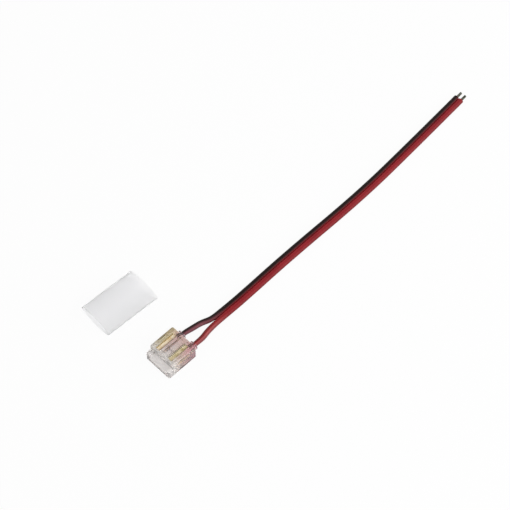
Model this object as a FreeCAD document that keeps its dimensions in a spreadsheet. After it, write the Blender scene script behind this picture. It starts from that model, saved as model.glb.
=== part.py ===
"""Two-wire clip connector for a light strip: a clear base and press-on cover, two toothed contacts,
a red and black twin lead with bare ends, and a loose oval sleeve that lies beside it.

Millimetres. The origin is the bottom centre of the housing, +X points to the wires, -X to the
strip's mouth, +Y to the black wire and +Z up.
"""
import FreeCAD, Part
import math
import os
import Sketcher
from FreeCAD import Placement, Rotation, Vector

os.makedirs("parts", exist_ok=True)

SIZES = {
    # housing
    "house_length": 13.0,
    "house_width": 11.8,
    "base_height": 3.6,
    "house_height": 6.2,
    "flange_height": 1.2,
    "front_length": 2.0,
    "corner_radius": 0.7,
    "edge_radius": 0.3,
    # mouth for the strip
    "strip_width": 8.0,
    "strip_clearance": 0.3,
    "stop_wall": 0.4,
    "seat_height": 2.2,
    "strip_gap": 0.8,
    "ramp_length": 1.4,
    "ramp_drop": 0.7,
    "recess_depth": 0.6,
    # wires
    "wire_diameter": 1.9,
    "wire_pitch": 6.0,
    "wire_height": 1.9,
    "wire_inset": 5.5,
    "bore_clearance": 0.05,
    "closed_bore": 1.55,
    "hood_length": 1.7,
    "hood_diameter": 3.4,
    "mouth_flare": 0.35,
    "conductor_diameter": 0.9,
    "conductor_depth": 8.0,
    "core_clearance": 0.04,
    "tinned_diameter": 0.7,
    "tinned_length": 2.5,
    "tip_taper": 0.6,
    # cover
    "cover_clearance": 0.1,
    "ceiling_gap": 0.04,
    "skirt_thickness": 0.65,
    "roof_thickness": 0.9,
    "cover_radius": 0.6,
    "rib_width": 0.8,
    "presser_gap": 0.05,
    # snap nubs and the windows that they sit in
    "nub_length": 2.8,
    "nub_height": 0.6,
    "nub_depth": 0.25,
    "nub_level": 2.0,
    "nub_offset": 1.4,
    "window_clearance": 0.25,
    # contacts
    "contact_width": 2.1,
    "contact_inset": 3.1,
    "contact_recess": 0.4,
    "contact_sheet": 0.25,
    "contact_clearance": 0.05,
    "base_clearance": 0.15,
    "bend_radius": 0.2,
    "comb_gap": 0.3,
    "strip_tip": 1.95,
    "strip_teeth": 5,
    "tooth_height": 0.8,
    "fork_tip": 1.1,
    "fork_slot": 0.8,
    "fork_point": 0.4,
    "notch_length": 0.34,
    "notch_depth": 0.4,
    "notch_drop": 0.5,
    "notch_margin": 0.5,
    "notch_count": 12,
    # sleeve
    "sleeve_length": 22.2,
    "sleeve_width": 15.0,
    "sleeve_height": 5.1,
    "sleeve_wall": 0.35,
    "sleeve_x": 1.15,
    "sleeve_y": 27.8,
    "sleeve_turn": -2.5,
}

doc = FreeCAD.newDocument("strip_connector")
sheet = doc.addObject("Spreadsheet::Sheet", "Sizes")
for row, (alias, value) in enumerate(SIZES.items(), start=1):
    sheet.set(f"A{row}", alias)
    sheet.set(f"B{row}", str(value))
    sheet.setAlias(f"B{row}", alias)
doc.recompute()


def size(alias):
    """A driving size, as the sheet holds it."""
    return float(getattr(sheet, alias))


# Places that several pieces share, as expressions on the sheet.
FRONT = "-(Sizes.house_length / 2)"
REAR = "(Sizes.house_length / 2)"
SIDE = "(Sizes.house_width / 2)"
BLOCK_END = f"({FRONT} + Sizes.front_length)"
CORE_SIDE = f"({SIDE} - Sizes.skirt_thickness - Sizes.cover_clearance)"
CHANNEL_SIDE = "((Sizes.strip_width + Sizes.strip_clearance) / 2)"
WIRE_END = f"({REAR} - Sizes.wire_inset)"
STRIP_STOP = f"({WIRE_END} - Sizes.stop_wall)"
TROUGH_END = f"({REAR} - Sizes.closed_bore)"
HOOD_END = f"({REAR} + Sizes.hood_length)"
BORE = "(Sizes.wire_diameter + 2 * Sizes.bore_clearance)"
LANE = "(Sizes.wire_pitch / 2)"
CONTACT_FRONT = f"({FRONT} + Sizes.contact_inset)"
CONTACT_REAR = f"({TROUGH_END} - Sizes.base_clearance)"
CONTACT_TOP = "(Sizes.house_height - Sizes.contact_recess)"
WEB_BOTTOM = f"({CONTACT_TOP} - Sizes.contact_sheet)"
CONTACT_HALF = "(Sizes.contact_width / 2)"
LEG_INNER = f"({CONTACT_HALF} - Sizes.contact_sheet)"
COMB_END = f"({WIRE_END} - Sizes.comb_gap)"
FORK_FRONT = f"({CONTACT_REAR} - Sizes.contact_sheet)"
LEGS_BOTTOM = "(Sizes.base_height + Sizes.base_clearance)"
COVER_FRONT = f"({BLOCK_END} + Sizes.cover_clearance)"
SKIRT_BOTTOM = "(Sizes.flange_height + Sizes.cover_clearance)"
CEILING = "(Sizes.base_height + Sizes.ceiling_gap)"
PRESSER = "(Sizes.seat_height + Sizes.strip_gap)"
WIRE_TOP = "(Sizes.wire_height + Sizes.wire_diameter / 2)"


def minus(expression):
    """The same expression with its sign turned."""
    return f"(-1 * {expression})"


def sketch(body, name, role, offset="0"):
    """A sketch on one of the body's own origin planes, moved along that plane's normal."""
    plane = next(item for item in body.Origin.OriginFeatures if item.Role == role)
    made = body.newObject("Sketcher::SketchObject", name)
    made.AttachmentSupport = [(plane, "")]
    made.MapMode = "FlatFace"
    made.setExpression("AttachmentOffset.Base.z", offset)
    return made


def hold(made, item, point, across, up):
    """Ties one point of a sketch to two expressions."""
    for kind, expression in (("DistanceX", across), ("DistanceY", up)):
        index = made.addConstraint(Sketcher.Constraint(kind, -1, 1, item, point, 1.0))
        made.setExpression(f"Constraints[{index}]", expression)


def polygon(made, corners):
    """A closed outline through the corners, each held by two expressions."""
    count = len(corners)
    turn = 2 * math.pi / count
    seeds = [Vector(math.cos(turn * i), math.sin(turn * i), 0) for i in range(count)]
    first = made.GeometryCount
    for i in range(count):
        made.addGeometry(Part.LineSegment(seeds[i], seeds[(i + 1) % count]), False)
    for i in range(count):
        made.addConstraint(Sketcher.Constraint("Coincident", first + i, 2, first + (i + 1) % count, 1))
    for i, (across, up) in enumerate(corners):
        hold(made, first + i, 1, across, up)


def rectangle(made, left, right, low, high):
    """A closed rectangle held by four expressions."""
    polygon(made, [(left, low), (right, low), (right, high), (left, high)])


def circle(made, across, up, diameter):
    """A circle held by its centre and its diameter."""
    item = made.addGeometry(Part.Circle(Vector(1, 1, 0), Vector(0, 0, 1), 1.0), False)
    index = made.addConstraint(Sketcher.Constraint("Diameter", item, 2.0))
    made.setExpression(f"Constraints[{index}]", diameter)
    hold(made, item, 3, across, up)


def extrude(body, kind, made, name, length, reverse, both_ways):
    """A pad or pocket of a sketch, checked to have changed the solid."""
    before = body.Shape.Volume if body.Tip and not body.Shape.isNull() else 0.0
    feature = body.newObject(kind, name)
    feature.Profile = made
    feature.SideType = "Symmetric" if both_ways else "One side"
    feature.Reversed = reverse
    feature.setExpression("Length", length)
    doc.recompute()
    if abs(body.Shape.Volume - before) < 1e-4:
        raise RuntimeError(f"{name} changes nothing")
    return feature


def pad(body, made, name, length, reverse=False):
    """Adds a sketch's outline, along the sketch's normal unless it is reversed."""
    return extrude(body, "PartDesign::Pad", made, name, length, reverse, False)


def pocket(body, made, name, length, reverse=False, both_ways=False):
    """Cuts a sketch's outline, against the sketch's normal unless it is reversed."""
    return extrude(body, "PartDesign::Pocket", made, name, length, reverse, both_ways)


def repeat(body, feature, made, name, pitch, count):
    """Repeats a feature along its sketch's own across axis."""
    before = body.Shape.Volume
    row = body.newObject("PartDesign::LinearPattern", name)
    row.Originals = [feature]
    row.Direction = (made, ["H_Axis"])
    row.setExpression("Occurrences", count)
    row.setExpression("Length", f"{pitch} * ({count} - 1)")
    body.Tip = row
    doc.recompute()
    if abs(body.Shape.Volume - before) < 1e-4:
        raise RuntimeError(f"{name} repeats nothing")
    return row


def edges(shape, wanted):
    """Names of the edges whose both ends and middle pass a test."""
    names = []
    for number, edge in enumerate(shape.Edges, start=1):
        middle = edge.valueAt((edge.FirstParameter + edge.LastParameter) / 2)
        points = [vertex.Point for vertex in edge.Vertexes] + [middle]
        if all(wanted(point) for point in points):
            names.append(f"Edge{number}")
    return names


def upright(shape):
    """Names of the edges that stand straight up."""
    names = []
    for number, edge in enumerate(shape.Edges, start=1):
        box = edge.BoundBox
        if box.XLength < 1e-6 and box.YLength < 1e-6:
            names.append(f"Edge{number}")
    return names


def round_edges(body, name, names, radius):
    """Rounds the named edges of the body's last feature."""
    last = body.Tip
    feature = body.newObject("PartDesign::Fillet", name)
    feature.Base = (last, names)
    feature.setExpression("Radius", radius)
    doc.recompute()
    return feature


def base_housing():
    """The tray: flange, front blocks, strip channel, wire troughs and round wire hoods."""
    body = doc.addObject("PartDesign::Body", "BaseHousing")
    body.Label = "base_housing"

    outline = sketch(body, "FlangeOutline", "XY_Plane")
    rectangle(outline, FRONT, REAR, minus(SIDE), SIDE)
    pad(body, outline, "Flange", "Sizes.flange_height")
    outline = sketch(body, "FrontOutline", "XY_Plane")
    rectangle(outline, FRONT, BLOCK_END, minus(SIDE), SIDE)
    pad(body, outline, "FrontBlock", "Sizes.base_height")
    round_edges(body, "Corners", outer_corners(body.Shape), "Sizes.corner_radius")
    top = size("base_height")
    inside = -size("house_length") / 2 + size("front_length") - 1e-3
    rim = edges(body.Shape, lambda point: abs(point.z - top) < 1e-6)
    rim = [name for name in rim if body.Shape.getElement(name).BoundBox.XMin < inside]
    round_edges(body, "FrontRim", rim, "Sizes.edge_radius")

    outline = sketch(body, "CoreOutline", "XY_Plane")
    rectangle(outline, f"({BLOCK_END} - Sizes.front_length / 4)", REAR, minus(CORE_SIDE), CORE_SIDE)
    pad(body, outline, "Core", "Sizes.base_height")
    hoods = sketch(body, "HoodCircles", "YZ_Plane", f"{REAR} - Sizes.closed_bore / 2")
    for lane in (LANE, minus(LANE)):
        circle(hoods, lane, "Sizes.wire_height", "Sizes.hood_diameter")
    pad(body, hoods, "Hoods", "Sizes.hood_length + Sizes.closed_bore / 2")

    above = "(Sizes.base_height + 1)"
    channel = sketch(body, "ChannelSide", "XZ_Plane")
    polygon(channel, [
        (FRONT, "(Sizes.seat_height - Sizes.ramp_drop)"),
        (f"({FRONT} + Sizes.ramp_length)", "Sizes.seat_height"),
        (STRIP_STOP, "Sizes.seat_height"),
        (STRIP_STOP, above),
        (FRONT, above),
    ])
    pocket(body, channel, "StripChannel", f"2 * {CHANNEL_SIDE}", both_ways=True)

    combs = sketch(body, "CombRecesses", "XY_Plane", "Sizes.base_height")
    troughs = sketch(body, "WireTroughs", "XY_Plane", "Sizes.base_height")
    forks = sketch(body, "ForkRecesses", "XY_Plane", "Sizes.base_height")
    wall = f"({CONTACT_HALF} + Sizes.base_clearance)"
    for lane in (LANE, minus(LANE)):
        comb_start = f"({CONTACT_FRONT} - Sizes.base_clearance)"
        fork_start = f"({FORK_FRONT} - Sizes.base_clearance)"
        rectangle(combs, comb_start, WIRE_END, f"({lane} - {wall})", f"({lane} + {wall})")
        rectangle(troughs, WIRE_END, TROUGH_END, f"({lane} - {BORE} / 2)", f"({lane} + {BORE} / 2)")
        rectangle(forks, fork_start, TROUGH_END, f"({lane} - {wall})", f"({lane} + {wall})")
    pocket(body, combs, "CombRecess", "Sizes.base_height - Sizes.seat_height + Sizes.recess_depth")
    pocket(body, troughs, "WireTrough", "Sizes.base_height - Sizes.wire_height")
    pocket(body, forks, "ForkRecess", "Sizes.base_height - Sizes.fork_tip + Sizes.base_clearance")
    bores = sketch(body, "BoreCircles", "YZ_Plane", HOOD_END)
    for lane in (LANE, minus(LANE)):
        circle(bores, lane, "Sizes.wire_height", BORE)
    pocket(body, bores, "WireBore", "Sizes.wire_inset + Sizes.hood_length")

    mouth = size("house_length") / 2 + size("hood_length")
    reach = size("wire_diameter") / 2 + size("bore_clearance") + 1e-3
    lane = size("wire_pitch") / 2
    level = size("wire_height")
    rims = edges(body.Shape, lambda point: abs(point.x - mouth) < 1e-6
                 and math.hypot(abs(point.y) - lane, point.z - level) < reach)
    last = body.Tip
    flare = body.newObject("PartDesign::Chamfer", "HoodMouth")
    flare.Base = (last, rims)
    flare.setExpression("Size", "Sizes.mouth_flare")
    doc.recompute()

    for sign, name in ((1, "Left"), (-1, "Right")):
        side = CORE_SIDE if sign > 0 else minus(CORE_SIDE)
        tip = f"({side} + {sign} * Sizes.nub_depth)"
        root = f"({side} - {sign} * Sizes.nub_depth)"
        nub = sketch(body, f"{name}NubSide", "YZ_Plane", "Sizes.nub_offset - Sizes.nub_length / 2")
        polygon(nub, [
            (root, "Sizes.nub_level"),
            (tip, "Sizes.nub_level"),
            (tip, "(Sizes.nub_level + Sizes.nub_height / 3)"),
            (side, "(Sizes.nub_level + Sizes.nub_height)"),
            (root, "(Sizes.nub_level + Sizes.nub_height)"),
        ])
        pad(body, nub, f"{name}Nub", "Sizes.nub_length")
    return body


def outer_corners(shape):
    """Names of the upright edges at the outer corners of a rectangular block."""
    box = shape.BoundBox
    names = []
    for name in upright(shape):
        point = shape.getElement(name).CenterOfMass
        far_x = min(abs(point.x - box.XMin), abs(point.x - box.XMax)) < 1e-6
        far_y = min(abs(point.y - box.YMin), abs(point.y - box.YMax)) < 1e-6
        if far_x and far_y:
            names.append(name)
    return names


def cover():
    """The cap: roof, side skirts, strip and wire pressers, contact slots and snap windows."""
    body = doc.addObject("PartDesign::Body", "Cover")
    body.Label = "cover"
    inner = f"({SIDE} - Sizes.skirt_thickness)"
    section = sketch(body, "CapSection", "YZ_Plane", COVER_FRONT)
    polygon(section, [
        (minus(SIDE), SKIRT_BOTTOM),
        (minus(SIDE), "Sizes.house_height"),
        (SIDE, "Sizes.house_height"),
        (SIDE, SKIRT_BOTTOM),
        (inner, SKIRT_BOTTOM),
        (inner, CEILING),
        (minus(inner), CEILING),
        (minus(inner), SKIRT_BOTTOM),
    ])
    pad(body, section, "Cap", f"{REAR} - {COVER_FRONT}")
    round_edges(body, "CapCorners", outer_corners(body.Shape), "Sizes.cover_radius")
    crown = size("house_height")
    rim = edges(body.Shape, lambda point: abs(point.z - crown) < 1e-6)
    round_edges(body, "CapRim", rim, "Sizes.cover_radius * 0.9")

    into_roof = f"{CEILING} + Sizes.roof_thickness / 2"
    presser = sketch(body, "StripPresserOutline", "XY_Plane", PRESSER)
    reach = f"({CHANNEL_SIDE} - Sizes.cover_clearance)"
    start = f"({COVER_FRONT} + Sizes.cover_radius)"
    rectangle(presser, start, f"({STRIP_STOP} - Sizes.cover_clearance)", minus(reach), reach)
    pad(body, presser, "StripPresser", f"{into_roof} - {PRESSER}")
    level = f"({WIRE_TOP} + Sizes.presser_gap)"
    pressers = sketch(body, "WirePresserOutline", "XY_Plane", level)
    half = f"(Sizes.wire_diameter / 2)"
    for lane in (LANE, minus(LANE)):
        first = f"({WIRE_END} + Sizes.cover_clearance)"
        last = f"({TROUGH_END} - Sizes.cover_clearance)"
        rectangle(pressers, first, last, f"({lane} - {half})", f"({lane} + {half})")
    pad(body, pressers, "WirePresser", f"{into_roof} - {level}")

    hollow = sketch(body, "MiddleCore", "XY_Plane", PRESSER)
    side = f"({LANE} - {CONTACT_HALF} - Sizes.rib_width)"
    rectangle(hollow, f"({start} + Sizes.rib_width)", f"({REAR} - Sizes.rib_width)", minus(side), side)
    pocket(body, hollow, "Hollow", f"Sizes.house_height - Sizes.roof_thickness - {PRESSER}", reverse=True)

    seats = sketch(body, "ContactSeats", "XY_Plane", "Sizes.house_height")
    slots = sketch(body, "LegSlots", "XY_Plane", "Sizes.house_height")
    forks = sketch(body, "ForkSlots", "XY_Plane", "Sizes.house_height")
    first = f"({CONTACT_FRONT} - Sizes.contact_clearance)"
    last = f"({CONTACT_REAR} + Sizes.contact_clearance)"
    fork_start = f"({FORK_FRONT} - Sizes.contact_clearance)"
    outer = f"({CONTACT_HALF} + Sizes.contact_clearance)"
    near = f"({LEG_INNER} - Sizes.contact_clearance)"
    for lane in (LANE, minus(LANE)):
        rectangle(seats, first, last, f"({lane} - {outer})", f"({lane} + {outer})")
        rectangle(slots, first, last, f"({lane} - {outer})", f"({lane} - {near})")
        rectangle(slots, first, last, f"({lane} + {near})", f"({lane} + {outer})")
        rectangle(forks, fork_start, last, f"({lane} - {outer})", f"({lane} + {outer})")
    pocket(body, seats, "ContactSeat", f"Sizes.house_height - {WEB_BOTTOM} + Sizes.contact_clearance")
    pocket(body, slots, "LegSlot", "Sizes.house_height")
    pocket(body, forks, "ForkSlot", "Sizes.house_height")

    reach = f"(Sizes.nub_length / 2 + Sizes.window_clearance)"
    left = f"(Sizes.nub_offset - {reach})"
    right = f"(Sizes.nub_offset + {reach})"
    window = sketch(body, "WindowOutline", "XZ_Plane")
    rectangle(window, left, right, "(Sizes.nub_level - Sizes.window_clearance)",
              "(Sizes.nub_level + Sizes.nub_height + Sizes.window_clearance)")
    pocket(body, window, "SnapWindow", "Sizes.house_width + 1", both_ways=True)
    groove = sketch(body, "GrooveOutline", "XZ_Plane")
    rectangle(groove, left, right, "Sizes.flange_height", "Sizes.nub_level")
    depth = "(Sizes.nub_depth + Sizes.cover_clearance)"
    pocket(body, groove, "SnapGroove", f"2 * ({CORE_SIDE} + {depth})", both_ways=True)
    return body


def contact(name, label, lane):
    """A folded channel of thin sheet: teeth for the strip at its front, a fork for the wire at its rear."""
    body = doc.addObject("PartDesign::Body", name)
    body.Label = label
    section = sketch(body, f"{name}Section", "YZ_Plane", CONTACT_FRONT)
    half = CONTACT_HALF
    polygon(section, [
        (f"({lane} - {half})", "Sizes.strip_tip"),
        (f"({lane} - {half})", CONTACT_TOP),
        (f"({lane} + {half})", CONTACT_TOP),
        (f"({lane} + {half})", "Sizes.strip_tip"),
        (f"({lane} + {LEG_INNER})", "Sizes.strip_tip"),
        (f"({lane} + {LEG_INNER})", WEB_BOTTOM),
        (f"({lane} - {LEG_INNER})", WEB_BOTTOM),
        (f"({lane} - {LEG_INNER})", "Sizes.strip_tip"),
    ])
    pad(body, section, f"{name}Channel", f"{CONTACT_REAR} - {CONTACT_FRONT}")

    plane = minus(lane)
    through = "2 * Sizes.contact_width"
    below = "(Sizes.strip_tip - 1)"
    legs_end = f"({FORK_FRONT} - Sizes.contact_clearance)"
    relief = sketch(body, f"{name}Relief", "XZ_Plane", plane)
    polygon(relief, [
        (COMB_END, below),
        (f"({CONTACT_REAR} + 1)", below),
        (f"({CONTACT_REAR} + 1)", WEB_BOTTOM),
        (legs_end, WEB_BOTTOM),
        (legs_end, LEGS_BOTTOM),
        (COMB_END, LEGS_BOTTOM),
    ])
    pocket(body, relief, f"{name}Step", through, both_ways=True)

    slot = "(Sizes.fork_slot / 2)"
    tine = f"(({half} + {slot}) / 2)"
    shoulder = "(Sizes.fork_tip + Sizes.fork_point)"
    join = f"({CONTACT_TOP} - Sizes.contact_sheet / 2)"
    root = f"({WIRE_TOP} + Sizes.presser_gap)"
    fork = sketch(body, f"{name}ForkOutline", "YZ_Plane", CONTACT_REAR)
    polygon(fork, [
        (f"({lane} - {half})", join),
        (f"({lane} - {half})", shoulder),
        (f"({lane} - {tine})", "Sizes.fork_tip"),
        (f"({lane} - {slot})", shoulder),
        (f"({lane} - {slot})", root),
        (f"({lane} + {slot})", root),
        (f"({lane} + {slot})", shoulder),
        (f"({lane} + {tine})", "Sizes.fork_tip"),
        (f"({lane} + {half})", shoulder),
        (f"({lane} + {half})", join),
    ])
    pad(body, fork, f"{name}Fork", "Sizes.contact_sheet", reverse=True)
    crown = size("house_height") - size("contact_recess")
    rear = size("house_length") / 2 - size("closed_bore") - size("base_clearance")
    bends = []
    for edge in edges(body.Shape, lambda point: abs(point.z - crown) < 1e-6):
        box = body.Shape.getElement(edge).BoundBox
        if box.XLength > 1 or box.XMin > rear - 1e-3:
            bends.append(edge)
    round_edges(body, f"{name}Bends", bends, "Sizes.bend_radius")

    pitch = f"(({COMB_END} - {CONTACT_FRONT}) / Sizes.strip_teeth)"
    left = f"({CONTACT_FRONT} + {pitch} * 0.04)"
    right = f"({CONTACT_FRONT} + {pitch} * 0.96)"
    gap = sketch(body, f"{name}GapOutline", "XZ_Plane", plane)
    polygon(gap, [
        (left, "(Sizes.strip_tip - Sizes.tooth_height / 20)"),
        (right, "(Sizes.strip_tip - Sizes.tooth_height / 20)"),
        (f"(({left} + {right}) / 2)", "(Sizes.strip_tip + Sizes.tooth_height)"),
    ])
    cut = pocket(body, gap, f"{name}Gap", through, both_ways=True)
    repeat(body, cut, gap, f"{name}Teeth", pitch, "Sizes.strip_teeth")

    notch = sketch(body, f"{name}NotchOutline", "XY_Plane", CONTACT_TOP)
    start = f"({CONTACT_FRONT} + Sizes.notch_margin)"
    inward = f"({half} - Sizes.notch_depth)"
    for near, far in ((inward, half), (minus(half), minus(inward))):
        rectangle(notch, f"({start} - Sizes.notch_length / 2)", f"({start} + Sizes.notch_length / 2)",
                  f"({lane} + {near})", f"({lane} + {far})")
    cut = pocket(body, notch, f"{name}Notch", "Sizes.notch_drop")
    row_length = f"({CONTACT_REAR} - {CONTACT_FRONT} - 2 * Sizes.notch_margin)"
    repeat(body, cut, notch, f"{name}Notches", f"({row_length} / (Sizes.notch_count - 1))", "Sizes.notch_count")
    return body


# The lead's route, chosen by hand from the wires' bends: out of the housing side by side, down to
# the surface, together, and then along it as one twin cable.
BLACK_ROUTE = [
    (1.0, 3.0, 1.9), (10.4, 3.0, 1.9), (19.9, 0.80, 0.96), (34.0, 0.55, 0.96),
    (58.0, 1.27, 0.96), (96.2, 1.00, 0.96), (126.4, 2.88, 0.96), (157.0, 5.22, 0.96),
]
RED_ROUTE = [
    (1.0, -3.0, 1.9), (10.4, -3.0, 1.9), (19.9, -1.17, 0.96), (34.0, -1.41, 0.96),
    (58.0, -0.69, 0.96), (96.2, -0.96, 0.96), (126.4, 0.92, 0.96), (157.0, 3.26, 0.96),
]
ARC_SHARE = 0.45


def rounded_path(route, label):
    """Straight runs joined by tangent arcs as large as each pair of runs allows."""
    points = [Vector(*point) for point in route]
    radii = []
    parts = []
    begin = points[0]
    for before, here, after in zip(points, points[1:], points[2:]):
        inward = (here - before).normalize()
        onward = (after - here).normalize()
        turn = inward.getAngle(onward)
        trim = ARC_SHARE * min((here - before).Length, (after - here).Length)
        radius = trim / math.tan(turn / 2)
        radii.append(radius)
        start = here - inward * trim
        end = here + onward * trim
        to_centre = (onward - inward).normalize()
        sagitta = radius / math.cos(turn / 2) - radius
        parts.append(Part.LineSegment(begin, start).toShape())
        parts.append(Part.Arc(start, here + to_centre * sagitta, end).toShape())
        begin = end
    parts.append(Part.LineSegment(begin, points[-1]).toShape())
    path = Part.Wire(parts)
    print(f"{label}: length {path.Length:.2f}, radii {[round(radius, 1) for radius in radii]}")
    return path


def swept(path, diameter):
    """A round rod along a path."""
    edge = path.Edges[0]
    ring = Part.Circle(edge.valueAt(edge.FirstParameter), edge.tangentAt(edge.FirstParameter), diameter / 2)
    face = Part.Face(Part.Wire([ring.toShape()]))
    rod = path.makePipe(face)
    expected = math.pi * diameter ** 2 / 4 * path.Length
    if abs(rod.Volume - expected) > 0.001 * expected:
        raise RuntimeError(f"the sweep's volume is {rod.Volume:.3f} and not {expected:.3f}")
    return rod


def fork_slits(lane):
    """The two slits that a contact's fork cuts into the sides of a wire, with their clearance."""
    gap = size("contact_clearance")
    rear = size("house_length") / 2 - size("closed_bore") - size("base_clearance")
    first = rear - size("contact_sheet") - gap
    low = size("fork_tip") - gap
    high = size("wire_height") + size("wire_diameter")
    outer = size("contact_width") / 2 + gap
    near = size("fork_slot") / 2 - gap
    boxes = []
    for left in (lane - outer, lane + near):
        boxes.append(Part.makeBox(rear + gap - first, outer - near, high - low, Vector(first, left, low)))
    return boxes


def wire_pieces(colour, route):
    """One wire, slit where the contact's fork holds it, and the conductor that stands out of its far end."""
    end = Vector(*route[-1])
    outward = (end - Vector(*route[-2])).normalize()
    depth = size("conductor_depth")
    bore = size("conductor_diameter") + 2 * size("core_clearance")
    hollow = Part.makeCylinder(bore / 2, depth, end, outward * -1)
    wire = swept(rounded_path(route, f"{colour} wire"), size("wire_diameter"))
    wire = wire.cut([hollow, *fork_slits(route[0][1])])

    strands = size("conductor_diameter") / 2
    tinned = size("tinned_diameter") / 2
    shoulder = end + outward * size("tip_taper")
    conductor = Part.makeCylinder(strands, depth, end - outward * depth, outward)
    conductor = conductor.fuse([
        Part.makeCone(strands, tinned, size("tip_taper"), end, outward),
        Part.makeCylinder(tinned, size("tinned_length"), shoulder, outward),
    ])
    pieces = []
    for label, solid in ((f"{colour}_wire", wire), (f"{colour}_conductor", conductor)):
        piece = doc.addObject("Part::Feature", label.title().replace("_", ""))
        piece.Label = label
        piece.Shape = solid
        pieces.append(piece)
    return pieces


def oval_sleeve():
    """The thin oval tube that slides over the closed connector, lying beside it."""
    tubes = []
    for name, wall in (("Outer", "0"), ("Inner", "Sizes.sleeve_wall")):
        ring = doc.addObject("Part::Ellipse", f"Sleeve{name}Ring")
        ring.setExpression("MajorRadius", f"Sizes.sleeve_width / 2 - {wall}")
        ring.setExpression("MinorRadius", f"Sizes.sleeve_height / 2 - {wall}")
        tube = doc.addObject("Part::Extrusion", f"Sleeve{name}")
        tube.Base = ring
        tube.DirMode = "Custom"
        tube.Dir = Vector(0, 0, 1)
        tube.Solid = True
        tube.Symmetric = True
        tube.setExpression("LengthFwd", "Sizes.sleeve_length")
        tubes.append(tube)
    sleeve = doc.addObject("Part::Cut", "OvalSleeve")
    sleeve.Label = "oval_sleeve"
    sleeve.Base, sleeve.Tool = tubes
    upright_axis = Rotation(Vector(0, 0, 1), size("sleeve_turn"))
    lay_down = Rotation(Vector(0, 1, 0), Vector(0, 0, 1), Vector(1, 0, 0), "XYZ")
    place = Vector(size("sleeve_x"), size("sleeve_y"), size("sleeve_height") / 2)
    sleeve.Placement = Placement(place, upright_axis.multiply(lay_down))
    return sleeve


nodes = [
    base_housing(),
    cover(),
    contact("LeftContact", "left_contact", LANE),
    contact("RightContact", "right_contact", minus(LANE)),
    *wire_pieces("black", BLACK_ROUTE),
    *wire_pieces("red", RED_ROUTE),
    oval_sleeve(),
]
doc.recompute()

for item in doc.Objects:
    if "Invalid" in item.State or "Error" in item.State:
        raise RuntimeError(f"{item.Label} failed")
for node in nodes:
    if node.Shape.isNull() or not node.Shape.isValid() or not node.Shape.Solids:
        raise RuntimeError(f"{node.Label} has no valid solid")
    node.Shape.exportStep(f"parts/{node.Label}.step")
    print(node.Label, len(node.Shape.Solids), "solids", round(node.Shape.Volume, 3), "mm3")
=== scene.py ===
"""Looks of a clear clip-on connector for a light strip, with its twin lead and its loose oval sleeve."""
import math

import bmesh
import bpy
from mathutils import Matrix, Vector


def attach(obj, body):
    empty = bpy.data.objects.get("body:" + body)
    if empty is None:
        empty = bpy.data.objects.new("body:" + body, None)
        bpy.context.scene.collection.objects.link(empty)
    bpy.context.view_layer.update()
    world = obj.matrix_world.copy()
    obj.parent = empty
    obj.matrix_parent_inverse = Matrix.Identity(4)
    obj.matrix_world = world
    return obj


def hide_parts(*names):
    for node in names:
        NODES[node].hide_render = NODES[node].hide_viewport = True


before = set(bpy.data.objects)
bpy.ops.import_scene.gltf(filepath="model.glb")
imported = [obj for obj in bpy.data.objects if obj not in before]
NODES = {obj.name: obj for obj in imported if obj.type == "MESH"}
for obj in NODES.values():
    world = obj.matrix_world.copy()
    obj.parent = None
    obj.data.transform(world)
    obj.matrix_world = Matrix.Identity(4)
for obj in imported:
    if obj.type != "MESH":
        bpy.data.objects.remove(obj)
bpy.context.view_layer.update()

SCENE = bpy.context.scene
HOUSING = "housing"

# The lead, in metres: the points of the wires' route in the part, with the bends behind the hoods
# moved to where the photograph shows them.
BLACK_ROUTE = [
    (0.0010, 0.0030, 0.0019), (0.0056, 0.0030, 0.0019), (0.0090, 0.0030, 0.0019),
    (0.0120, 0.00250, 0.0017), (0.0164, 0.00207, 0.00115), (0.0198, 0.00065, 0.00108),
    (0.0240, 0.00046, 0.00108), (0.0340, 0.00036, 0.00108), (0.0580, 0.00108, 0.00108),
    (0.0962, 0.00081, 0.00108), (0.1264, 0.00269, 0.00108), (0.1570, 0.00503, 0.00108),
]
RED_ROUTE = [
    (0.0010, -0.0030, 0.0019), (0.0056, -0.0030, 0.0019), (0.0090, -0.0030, 0.0019),
    (0.0124, -0.00288, 0.0015), (0.0152, -0.00217, 0.0013), (0.0194, -0.00170, 0.00108),
    (0.0240, -0.00169, 0.00108), (0.0340, -0.00179, 0.00108), (0.0580, -0.00107, 0.00108),
    (0.0962, -0.00134, 0.00108), (0.1264, 0.00054, 0.00108), (0.1570, 0.00288, 0.00108),
]
WIRE_DIAMETER = 0.00215
# The wires are slimmer inside the hoods, which grip them: along the first points of each route.
GRIPPED_POINTS = 3
GRIPPED_SHARE = 0.884
CURVE_STEPS = 24
TUBE_STEPS = 8
SPLINE_ORDER = 3

# The bare end of a wire: lobed and twisted, thinner where it is tinned, and rounded at its tip.
BARE_LENGTH = 0.0031
BARE_OVERLAP = 0.0004
BUNDLE_RADIUS = 0.00053
TINNED_RADIUS = 0.00050
TINNED_FROM = 0.25
BUNDLE_LOBES = 12
STEPS_ON_LOBE = 6
BUNDLE_RINGS = 60
TWIST_PITCH = 0.009
LOBE_RELIEF = 0.14
LOBE_ROUNDNESS = 0.6
TIP_FROM = 0.94
TIP_REACH = 0.066

# The clear plastic: places along the housing, in metres, between which its tint with painted reflections,
# milkiness and dullness change, and how much light it lets through.
HOUSE_WIDTH = 0.0118
TINTED_FROM = (-0.004, 0.0005)
REAR_FROM = (0.001, 0.0056)
DULL_FROM = (-0.001, -0.0048)
FRONT_DULLNESS = 0.30
BASE_MILKINESS = 0.26
COVER_MILKINESS = 0.50
CLEARNESS = 0.95
PLASTIC_IOR = 1.5
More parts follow.
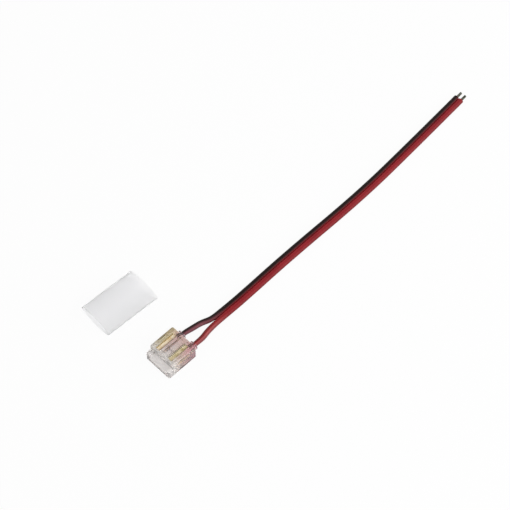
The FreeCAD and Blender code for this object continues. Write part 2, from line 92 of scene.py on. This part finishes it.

# The contacts: their lanes, half their width, the notches along one edge, and the painted shade between them.
LANE = 0.003
CONTACT_HALF = 0.00105
NOTCH_COUNT = 12
NOTCH_MARGIN = 0.0005
NOTCH_FADE = (-0.25, 0.35)
NOTCH_SHADE_EDGE = (0.70, 0.76)
NOTCH_SHADE_COLOUR = (0.24, 0.18, 0.10)

# The vinyl: where the wires have joined behind the hoods, and how its colour and dullness vary.
FORK_END = (0.016, 0.026)
VINYL_IOR = 1.53
DRIFT_COLOUR = (0.76, 0.76, 0.80)
SPECK_DULLNESS = 0.14

FILM_CLEARNESS = 0.92
FILM_IOR = 1.3

# The middle range of a noise pattern, which is stretched to the range that a material asks for.
NOISE_RANGE = (0.3, 0.7)

# The photograph's camera: where it stands, what it looks at, and its lens on a 36 mm sensor.
CAMERA_PLACE = Vector((-0.1651, -0.2063, 0.4697))
CAMERA_TARGET = Vector((0.05053, 0.00932, 0.0))
CAMERA_LENS = 108.7
SENSOR_WIDTH = 36.0
CAMERA_REACH = (0.01, 20.0)

# The light: a white tent whose strength depends on what sees it, and one large soft lamp.
WORLD_STRENGTH = 0.55
WORLD_STRENGTH_THROUGH = 0.80
WORLD_STRENGTH_SEEN = 1.0
KEY_PLACE = (0.33, -0.48, 0.30)
KEY_TARGET = (0.06, 0.0, 0.0)
KEY_SIZE = (1.6, 0.6)
KEY_WATTS = 5.9
LIGHT_BOUNCES = 32

# The table, just below the object, which glows to the camera and through the clear plastic.
TABLE_COLOUR = (0.9, 0.9, 0.9)
FLOOR_GLOW = 0.94
FLOOR_GLOW_THROUGH = 0.85
FLOOR_LEVEL = -0.00003
FLOOR_RADIUS = 3.0
FLOOR_SIDES = 96
WHITE = (1.0, 1.0, 1.0)


def shader(name):
    """A new material with its Principled shader."""
    made = bpy.data.materials.new(name)
    made.use_nodes = True
    tree = made.node_tree
    return made, tree, tree.nodes["Principled BSDF"]


def feed(tree, value, socket):
    """Gives a socket a number, a colour or the output of another node."""
    if isinstance(value, bpy.types.NodeSocket):
        tree.links.new(value, socket)
    elif socket.type == "RGBA":
        socket.default_value = (*value, 1.0)
    else:
        socket.default_value = value


def calculate(tree, operation, *values):
    """The result of a calculation with numbers and patterns."""
    made = tree.nodes.new("ShaderNodeMath")
    made.operation = operation
    for value, socket in zip(values, made.inputs):
        feed(tree, value, socket)
    return made.outputs[0]


def remap(tree, pattern, low, high, start=0.0, end=1.0):
    """Maps a pattern's range from low to high onto the range from start to end."""
    made = tree.nodes.new("ShaderNodeMapRange")
    made.inputs["From Min"].default_value = low
    made.inputs["From Max"].default_value = high
    made.inputs["To Min"].default_value = start
    made.inputs["To Max"].default_value = end
    tree.links.new(pattern, made.inputs["Value"])
    return made.outputs["Result"]


def blend(tree, share, first, second, kind="MIX"):
    """Two colours or coloured patterns, blended by a share from 0 to 1."""
    made = tree.nodes.new("ShaderNodeMix")
    made.data_type = "RGBA"
    made.blend_type = kind
    for value, place in ((share, 0), (first, 6), (second, 7)):
        feed(tree, value, made.inputs[place])
    return made.outputs[2]


def colour_ramp(tree, share, stops):
    """A colour that follows a share from 0 to 1 through stops of a place and a colour."""
    made = tree.nodes.new("ShaderNodeValToRGB")
    elements = made.color_ramp.elements
    for end in (0, -1):
        elements[end].position = stops[end][0]
        elements[end].color = (*stops[end][1], 1.0)
    for place, colour in stops[1:-1]:
        elements.new(place).color = (*colour, 1.0)
    tree.links.new(share, made.inputs["Fac"])
    return made.outputs["Color"]


def noise(tree, scale, detail=3.0, stretch=(1.0, 1.0, 1.0)):
    """Noise in the object's own metres, stretched along its axes."""
    place = tree.nodes.new("ShaderNodeTexCoord")
    mapping = tree.nodes.new("ShaderNodeMapping")
    mapping.inputs["Scale"].default_value = stretch
    made = tree.nodes.new("ShaderNodeTexNoise")
    made.inputs["Scale"].default_value = scale
    made.inputs["Detail"].default_value = detail
    tree.links.new(place.outputs["Object"], mapping.inputs["Vector"])
    tree.links.new(mapping.outputs["Vector"], made.inputs["Vector"])
    return made.outputs["Fac"]


def spread(tree, pattern, low, high):
    """Stretches a noise pattern to a range."""
    return remap(tree, pattern, *NOISE_RANGE, low, high)


def bump(tree, principled, pattern, distance, strength):
    """Relief of a pattern on the shader's normal."""
    made = tree.nodes.new("ShaderNodeBump")
    made.inputs["Distance"].default_value = distance
    made.inputs["Strength"].default_value = strength
    tree.links.new(pattern, made.inputs["Height"])
    tree.links.new(made.outputs["Normal"], principled.inputs["Normal"])


def coordinate(tree, kind, axis):
    """The object's own place or its normal, along one of its axes."""
    place = tree.nodes.new("ShaderNodeTexCoord")
    parts = tree.nodes.new("ShaderNodeSeparateXYZ")
    tree.links.new(place.outputs[kind], parts.inputs["Vector"])
    return parts.outputs[axis]


def share_along(tree, axis, low, high):
    """0 to 1 between two places along one of the object's axes."""
    return remap(tree, coordinate(tree, "Object", axis), low, high)


def painted_colours_across(tree, low, high, painted_bands):
    """A colour that follows the place across the object, between two places on its Y axis."""
    stops = [((place - low) / (high - low), colour) for place, colour in painted_bands]
    return colour_ramp(tree, share_along(tree, "Y", low, high), stops)


def painted_light_by_side(tree, painted_sides):
    """Painted light: a colour that follows how far the surface faces the object's +Y side, from -1 to 1."""
    share = remap(tree, coordinate(tree, "Normal", "Y"), -1.0, 1.0)
    return colour_ramp(tree, share, [((facing + 1) / 2, colour) for facing, colour in painted_sides])


def clear_plastic(name, tint, middle, rear, milkiness):
    """Clear moulded plastic, duller at the front, with painted reflections of the colours of what it holds.
    """
    made, tree, principled = shader(name)
    half = HOUSE_WIDTH / 2
    # Painted reflections of the wires and contacts, blended in behind the front.
    holding = blend(tree, share_along(tree, "X", *TINTED_FROM), tint,
                    painted_colours_across(tree, -half, half, middle))
    ending = blend(tree, share_along(tree, "X", *REAR_FROM), holding,
                   painted_colours_across(tree, -half, half, rear))
    tree.links.new(ending, principled.inputs["Base Color"])
    principled.inputs["IOR"].default_value = PLASTIC_IOR
    front = share_along(tree, "X", *DULL_FROM)
    clear = calculate(tree, "MULTIPLY_ADD", front, -milkiness, CLEARNESS)
    tree.links.new(clear, principled.inputs["Transmission Weight"])
    polish = spread(tree, noise(tree, scale=900.0), low=0.02, high=0.09)
    dull = calculate(tree, "MULTIPLY_ADD", front, FRONT_DULLNESS, polish)
    tree.links.new(dull, principled.inputs["Roughness"])
    bump(tree, principled, noise(tree, scale=500.0, detail=2.0, stretch=(0.4, 1.0, 1.0)),
         distance=0.00004, strength=0.35)
    return made


def painted_notch_shade(tree, share, node):
    """0 to 1 where painted shade darkens the notches between the teeth along one edge of a contact."""
    lengths = [corner[0] for corner in NODES[node].bound_box]
    first = min(lengths) + NOTCH_MARGIN
    pitch = (max(lengths) - NOTCH_MARGIN - first) / (NOTCH_COUNT - 1)
    along = calculate(tree, "SUBTRACT", coordinate(tree, "Object", "X"), first)
    wave = calculate(tree, "COSINE", calculate(tree, "MULTIPLY", along, 2 * math.pi / pitch))
    return calculate(tree, "MULTIPLY", remap(tree, wave, *NOTCH_FADE), remap(tree, share, *NOTCH_SHADE_EDGE))


def gilt_brass(node, lane, tarnish, painted_bands):
    """Stamped brass sheet with a thin gilt finish, with painted highlight and shade in stripes along the
    fold, each with its own satin.
    """
    made, tree, principled = shader("gilt_brass")
    principled.inputs["Metallic"].default_value = 1.0
    share = share_along(tree, "Y", lane - CONTACT_HALF, lane + CONTACT_HALF)
    gilt = colour_ramp(tree, share, [(place, colour) for place, colour, satin in painted_bands])
    satins = colour_ramp(tree, share, [(place, (satin,) * 3) for place, colour, satin in painted_bands])
    stain = spread(tree, noise(tree, scale=800.0), low=0.0, high=1.0)
    stained = blend(tree, stain, gilt, tarnish, "MULTIPLY")
    # Painted shade in the notches between the teeth.
    notch_shaded = blend(tree, painted_notch_shade(tree, share, node), stained, NOTCH_SHADE_COLOUR, "MULTIPLY")
    tree.links.new(notch_shaded, principled.inputs["Base Color"])
    wear = spread(tree, noise(tree, scale=2600.0, detail=4.0, stretch=(0.15, 1.0, 1.0)),
                  low=-0.09, high=0.09)
    tree.links.new(calculate(tree, "ADD", wear, satins), principled.inputs["Roughness"])
    bump(tree, principled, noise(tree, scale=4200.0, stretch=(0.1, 1.0, 1.0)),
         distance=0.00001, strength=0.4)
    return made


def vinyl(name, near, far, roughness, gloss, sheen):
    """Soft extruded vinyl: painted highlights and painted reflections by side, near the hoods and beyond,
    with a slow drift and dull specks.
    """
    made, tree, principled = shader(name)
    painted_sides = blend(tree, share_along(tree, "X", *FORK_END), painted_light_by_side(tree, near),
                  painted_light_by_side(tree, far))
    drift = spread(tree, noise(tree, scale=260.0), low=0.0, high=1.0)
    tree.links.new(blend(tree, drift, painted_sides, DRIFT_COLOUR, "MULTIPLY"), principled.inputs["Base Color"])
    specks = spread(tree, noise(tree, scale=3200.0, detail=4.0),
                    low=roughness, high=roughness + SPECK_DULLNESS)
    tree.links.new(specks, principled.inputs["Roughness"])
    bump(tree, principled, noise(tree, scale=2400.0, detail=4.0, stretch=(0.35, 1.0, 1.0)),
         distance=0.00002, strength=0.35)
    principled.inputs["IOR"].default_value = VINYL_IOR
    principled.inputs["Specular IOR Level"].default_value = gloss
    principled.inputs["Specular Tint"].default_value = (*sheen, 1.0)
    return made


def tinned_copper():
    """Twisted copper strands, dulled by solder."""
    made, tree, principled = shader("tinned_copper")
    principled.inputs["Metallic"].default_value = 1.0
    solder = [(0.35, (0.04, 0.042, 0.032)), (0.65, (0.12, 0.12, 0.092))]
    tree.links.new(colour_ramp(tree, noise(tree, scale=1800.0), solder), principled.inputs["Base Color"])
    dullness = spread(tree, noise(tree, scale=5200.0, detail=4.0), low=0.35, high=0.55)
    tree.links.new(dullness, principled.inputs["Roughness"])
    return made


def sleeve_film():
    """Thin translucent tube with a satin face, with painted shade along its long edges and a painted
    highlight along its middle.
    """
    made, tree, principled = shader("sleeve_film")
    widths = [corner[1] for corner in NODES["oval_sleeve"].bound_box]
    # Painted shade along the long edges and a painted highlight along the middle.
    across = colour_ramp(tree, share_along(tree, "Y", min(widths), max(widths)), [
        (0.04, (0.938, 0.938, 0.941)), (0.16, (0.948, 0.948, 0.952)), (0.42, (0.994, 0.992, 0.999)),
        (0.62, (0.980, 0.978, 0.986)), (0.88, (0.960, 0.960, 0.964)), (0.97, (0.950, 0.950, 0.952)),
    ])
    tree.links.new(across, principled.inputs["Base Color"])
    principled.inputs["Transmission Weight"].default_value = FILM_CLEARNESS
    principled.inputs["IOR"].default_value = FILM_IOR
    satin = spread(tree, noise(tree, scale=300.0, detail=4.0, stretch=(0.4, 1.0, 1.0)),
                   low=0.28, high=0.42)
    tree.links.new(satin, principled.inputs["Roughness"])
    bump(tree, principled, noise(tree, scale=140.0, stretch=(0.5, 1.0, 1.0)),
         distance=0.0003, strength=0.25)
    return made


def dress(node, finish):
    """Gives a CAD node that stays showing its finish."""
    slots = NODES[node].data.materials
    slots.clear()
    slots.append(finish)


def wire(name, route, finish):
    """One wire as a smooth round tube on the route's own spline."""
    curve = bpy.data.curves.new(name, "CURVE")
    curve.dimensions = "3D"
    curve.resolution_u = CURVE_STEPS
    curve.bevel_depth = WIRE_DIAMETER / 2
    curve.bevel_resolution = TUBE_STEPS
    curve.use_fill_caps = True
    spline = curve.splines.new("NURBS")
    spline.points.add(len(route) - 1)
    for point, place in zip(spline.points, route):
        point.co = (*place, 1.0)
    for point in list(spline.points)[:GRIPPED_POINTS]:
        point.radius = GRIPPED_SHARE
    spline.order_u = SPLINE_ORDER
    spline.use_endpoint_u = True
    spline.use_smooth = True
    made = bpy.data.objects.new(name, curve)
    SCENE.collection.objects.link(made)
    curve.materials.append(finish)
    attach(made, HOUSING)
    return made


def bundle(name, start, direction, length, finish):
    """A bundle of twisted strands with a slightly rounded end, from start along direction."""
    around = BUNDLE_LOBES * STEPS_ON_LOBE
    twist = 2 * math.pi / TWIST_PITCH
    side = direction.cross(Vector((0, 0, 1))).normalized()
    up = side.cross(direction)
    mesh = bmesh.new()
    loops = []
    for i in range(BUNDLE_RINGS + 1):
        along = i / BUNDLE_RINGS
        narrowing = 1.0
        if along >= TIP_FROM:
            narrowing = math.sqrt(max(0.0, 1 - ((along - TIP_FROM) / TIP_REACH) ** 2))
        base = BUNDLE_RADIUS + (TINNED_RADIUS - BUNDLE_RADIUS) * min(1.0, along / TINNED_FROM)
        spot = start + direction * (along * length)
        loop = []
        for j in range(around):
            angle = 2 * math.pi * j / around
            lobe = abs(math.cos(BUNDLE_LOBES / 2 * (angle - twist * along * length)))
            radius = base * narrowing * (1 - LOBE_RELIEF + LOBE_RELIEF * lobe ** LOBE_ROUNDNESS)
            outward = side * (radius * math.cos(angle)) + up * (radius * math.sin(angle))
            loop.append(mesh.verts.new(spot + outward))
        loops.append(loop)
    for first, second in zip(loops, loops[1:]):
        for j in range(around):
            following = (j + 1) % around
            mesh.faces.new((first[j], first[following], second[following], second[j]))
    mesh.faces.new(list(reversed(loops[0])))
    mesh.faces.new(loops[-1])
    data = bpy.data.meshes.new(name)
    mesh.to_mesh(data)
    mesh.free()
    for face in data.polygons:
        face.use_smooth = True
    data.materials.append(finish)
    made = bpy.data.objects.new(name, data)
    SCENE.collection.objects.link(made)
    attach(made, HOUSING)
    return made


def lead(colour, route, finish):
    """One wire with its bare end, both replacing their plain solids."""
    tube = wire(f"{colour}_insulation", route, finish)
    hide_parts(f"{colour}_wire")
    end = Vector(route[-1])
    direction = (end - Vector(route[-2])).normalized()
    strands = bundle(f"{colour}_strands", end - direction * BARE_OVERLAP, direction,
                     BARE_LENGTH + BARE_OVERLAP, tinned_copper())
    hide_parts(f"{colour}_conductor")


def mixed_shaders(tree, share, first, second):
    """Two shaders mixed by a share from 0 to 1."""
    made = tree.nodes.new("ShaderNodeMixShader")
    for output, place in ((share, 0), (first, 1), (second, 2)):
        tree.links.new(output, made.inputs[place])
    return made.outputs[0]


def surroundings():
    """White to the camera, a bright tent to gloss and clear plastic, and a soft grey to everything else."""
    world = bpy.data.worlds.new("surroundings")
    SCENE.world = world
    world.use_nodes = True
    tree = world.node_tree
    tree.nodes.clear()
    ray = tree.nodes.new("ShaderNodeLightPath")
    shades = []
    for strength in (WORLD_STRENGTH, WORLD_STRENGTH_THROUGH, WORLD_STRENGTH_SEEN):
        shade = tree.nodes.new("ShaderNodeBackground")
        shade.inputs["Color"].default_value = (*WHITE, 1.0)
        shade.inputs["Strength"].default_value = strength
        shades.append(shade.outputs[0])
    either = calculate(tree, "MAXIMUM", ray.outputs["Is Glossy Ray"], ray.outputs["Is Transmission Ray"])
    through = mixed_shaders(tree, either, shades[0], shades[1])
    direct = mixed_shaders(tree, ray.outputs["Is Camera Ray"], through, shades[2])
    out = tree.nodes.new("ShaderNodeOutputWorld")
    tree.links.new(direct, out.inputs["Surface"])


def floor():
    """A plain white table that keeps a faint shadow."""
    mesh = bmesh.new()
    bmesh.ops.create_circle(mesh, cap_ends=True, segments=FLOOR_SIDES, radius=FLOOR_RADIUS)
    data = bpy.data.meshes.new("table_top")
    mesh.to_mesh(data)
    mesh.free()
    made = bpy.data.objects.new("table_top", data)
    made.location = (0.0, 0.0, FLOOR_LEVEL)
    SCENE.collection.objects.link(made)
    finish = bpy.data.materials.new("white_table")
    finish.use_nodes = True
    tree = finish.node_tree
    tree.nodes.clear()
    ray = tree.nodes.new("ShaderNodeLightPath")
    plain = tree.nodes.new("ShaderNodeBsdfDiffuse")
    plain.inputs["Color"].default_value = (*TABLE_COLOUR, 1.0)
    glow = tree.nodes.new("ShaderNodeEmission")
    glow.inputs["Color"].default_value = (*WHITE, 1.0)
    glow.inputs["Strength"].default_value = 1.0
    direct = calculate(tree, "MULTIPLY", ray.outputs["Is Camera Ray"], FLOOR_GLOW)
    share = calculate(tree, "MULTIPLY_ADD", ray.outputs["Is Transmission Ray"], FLOOR_GLOW_THROUGH, direct)
    out = tree.nodes.new("ShaderNodeOutputMaterial")
    tree.links.new(mixed_shaders(tree, share, plain.outputs[0], glow.outputs[0]), out.inputs["Surface"])
    data.materials.append(finish)


def aim(made, place, target):
    """Stands a light or a camera at a place, facing a point."""
    made.location = place
    made.rotation_mode = "QUATERNION"
    made.rotation_quaternion = (Vector(target) - Vector(place)).to_track_quat("-Z", "Y")
    SCENE.collection.objects.link(made)


def softbox():
    """The large rectangular soft lamp."""
    light = bpy.data.lights.new("key", "AREA")
    light.shape = "RECTANGLE"
    light.size, light.size_y = KEY_SIZE
    light.energy = KEY_WATTS
    aim(bpy.data.objects.new("key", light), KEY_PLACE, KEY_TARGET)


def camera():
    """The photograph's view."""
    data = bpy.data.cameras.new("camera")
    data.lens = CAMERA_LENS
    data.sensor_width = SENSOR_WIDTH
    data.clip_start, data.clip_end = CAMERA_REACH
    made = bpy.data.objects.new("camera", data)
    aim(made, CAMERA_PLACE, CAMERA_TARGET)
    SCENE.camera = made


camera()
surroundings()
floor()
softbox()

# Vinyl by side, with painted light: painted highlights, and a painted reflection where each wire shows the
# other's colour where they face each other.
lead("black", BLACK_ROUTE, vinyl("black_vinyl", near=[
    (-0.9, (0.22, 0.080, 0.095)), (-0.6, (0.19, 0.065, 0.078)), (-0.3, (0.10, 0.036, 0.042)),
    (0.0, (0.018, 0.009, 0.009)), (0.5, (0.006, 0.005, 0.004)),
], far=[
    (-0.95, (0.34, 0.034, 0.040)), (-0.65, (0.030, 0.004, 0.004)), (-0.3, (0.005, 0.004, 0.003)),
    (0.05, (0.004, 0.004, 0.003)), (0.5, (0.004, 0.004, 0.003)),
], roughness=0.30, gloss=0.22, sheen=(1.0, 0.5, 0.5)))
lead("red", RED_ROUTE, vinyl("red_vinyl", near=[
    (-0.95, (0.24, 0.060, 0.062)), (-0.75, (0.26, 0.055, 0.056)), (-0.45, (0.42, 0.085, 0.085)),
    (-0.1, (0.24, 0.020, 0.020)), (0.4, (0.24, 0.030, 0.030)),
], far=[
    (-0.95, (0.20, 0.012, 0.015)), (-0.65, (0.24, 0.013, 0.017)), (-0.3, (0.27, 0.012, 0.018)),
    (0.05, (0.32, 0.018, 0.024)), (0.5, (0.46, 0.026, 0.036)),
], roughness=0.36, gloss=0.22, sheen=(1.0, 0.65, 0.65)))

# Plastic by place across the housing, from the red wire's side to the black wire's side: painted reflections
# of the wires and contacts it holds, and painted shade at the cover's edge on the black wire's side.
dress("base_housing", clear_plastic("clear_base", tint=(0.99, 0.955, 0.935), middle=[
    (-0.0058, (0.82, 0.69, 0.68)), (-0.0034, (0.84, 0.69, 0.66)), (-0.0014, (0.85, 0.80, 0.78)),
    (0.0012, (0.81, 0.75, 0.77)), (0.0028, (0.79, 0.67, 0.75)), (0.0058, (0.82, 0.76, 0.66)),
], rear=[
    (-0.0058, (0.77, 0.50, 0.56)), (-0.0034, (0.95, 0.54, 0.62)), (-0.0014, (0.86, 0.75, 0.73)),
    (0.0012, (0.83, 0.69, 0.70)), (0.0028, (0.76, 0.57, 0.66)), (0.0058, (0.80, 0.73, 0.60)),
], milkiness=BASE_MILKINESS))
dress("cover", clear_plastic("clear_cover", tint=(0.95, 0.92, 0.895), middle=[
    (-0.0058, (0.79, 0.68, 0.64)), (-0.0040, (0.81, 0.75, 0.63)), (0.0002, (0.86, 0.80, 0.76)),
    (0.0016, (0.79, 0.66, 0.59)), (0.0042, (0.99, 0.91, 0.70)), (0.0058, (0.42, 0.37, 0.19)),
], rear=[
    (-0.0058, (0.74, 0.54, 0.58)), (-0.0040, (0.84, 0.68, 0.63)), (0.0002, (0.80, 0.66, 0.61)),
    (0.0020, (0.81, 0.62, 0.56)), (0.0042, (0.98, 0.88, 0.66)), (0.0058, (0.48, 0.42, 0.25)),
], milkiness=COVER_MILKINESS))

# Brass by place across each contact: its share of the width, its colour with painted highlight and shade, and
# its roughness.
dress("left_contact", gilt_brass("left_contact", LANE, tarnish=(0.84, 0.74, 0.56), painted_bands=[
    (0.08, (0.54, 0.39, 0.29), 0.42), (0.34, (0.86, 0.80, 0.69), 0.90),
    (0.62, (0.92, 0.87, 0.77), 0.90), (0.70, (0.90, 0.74, 0.44), 0.55),
]))
dress("right_contact", gilt_brass("right_contact", -LANE, tarnish=(0.50, 0.46, 0.26), painted_bands=[
    (0.08, (0.80, 0.70, 0.52), 0.42), (0.45, (0.80, 0.68, 0.46), 0.50),
    (0.64, (0.90, 0.78, 0.58), 0.60), (0.76, (1.0, 0.96, 0.82), 0.90),
]))
dress("oval_sleeve", sleeve_film())

SCENE.view_settings.view_transform = "Standard"
SCENE.cycles.max_bounces = LIGHT_BOUNCES
SCENE.cycles.transmission_bounces = LIGHT_BOUNCES
SCENE.cycles.glossy_bounces = LIGHT_BOUNCES
